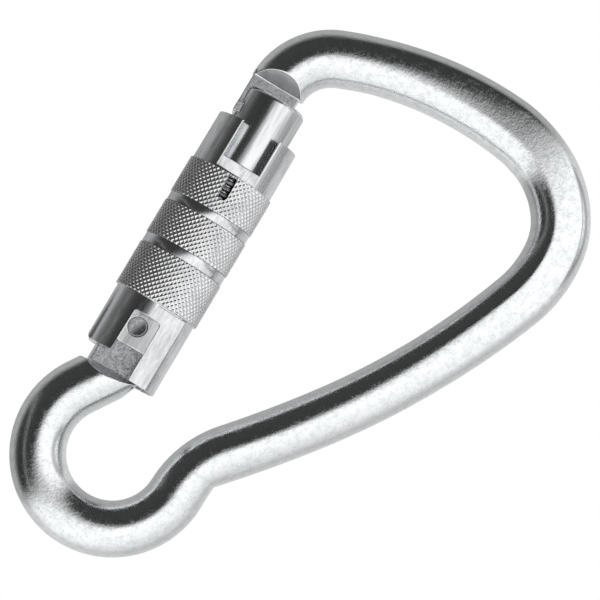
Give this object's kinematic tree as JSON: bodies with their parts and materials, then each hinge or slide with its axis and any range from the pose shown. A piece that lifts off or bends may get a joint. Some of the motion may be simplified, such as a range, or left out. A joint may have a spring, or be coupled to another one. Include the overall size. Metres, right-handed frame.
{
  "type": "locking carabiner",
  "caption": "Large forged steel locking carabiner with a small captive eye, a wide bow and a sprung gate under a knurled twist sleeve with milled windows.",
  "frame": {"origin": "anchor seat on the inside of the bow, where the load line meets the bar", "axes": "+Z along the closed gate from the hinge to the nose, +X from the gate into the basket, Y across the flat body"},
  "size_m": [0.0886, 0.0198, 0.1332],
  "materials": {
    "forged_steel": "bright zinc plated forging",
    "turned_steel": "bright zinc plated, turned",
    "rivet_steel": "dull set rivet",
    "knurled_steel": "bright zinc plated, diamond knurled",
    "spring_steel": "dark spring wire",
    "pin_steel": "plain hardened pin"
  },
  "bodies": {
    "body": {"frame": "forged_steel"},
    "gate": {"gate_barrel": "turned_steel", "hinge_rivet": "rivet_steel", "guide_pin": "pin_steel", "sleeve_spring": "spring_steel", "gate_spring": "spring_steel"},
    "sleeve": {"locking_sleeve": "knurled_steel"},
    "plunger": {"gate_plunger": "pin_steel"}
  },
  "joints": [
    {"name": "gate_swing", "type": "hinge", "parent": "body", "child": "gate", "pos_m": [-0.05341, 0, -0.07003], "axis": [0, 1, 0], "range_deg": [0, 16.5], "stiffness_Nm_per_rad": 0.05, "springref_deg": -20.05},
    {"name": "sleeve_turn", "type": "hinge", "parent": "gate", "child": "sleeve", "pos_m": [-0.05251, 0, -0.06073], "axis": [0, 0, 1], "range_deg": [0, 90], "stiffness_Nm_per_rad": 0.02, "springref_deg": -28.65},
    {"name": "plunger_slide", "type": "slide", "parent": "gate", "child": "plunger", "axis": [0, 0, 1], "range_m": [0, 0.00122], "deforming": ["gate_spring"]}
  ],
  "couplings": [
    {"joint": "plunger_slide", "follows": "gate_swing", "m_per_rad": 0.0042}
  ]
}
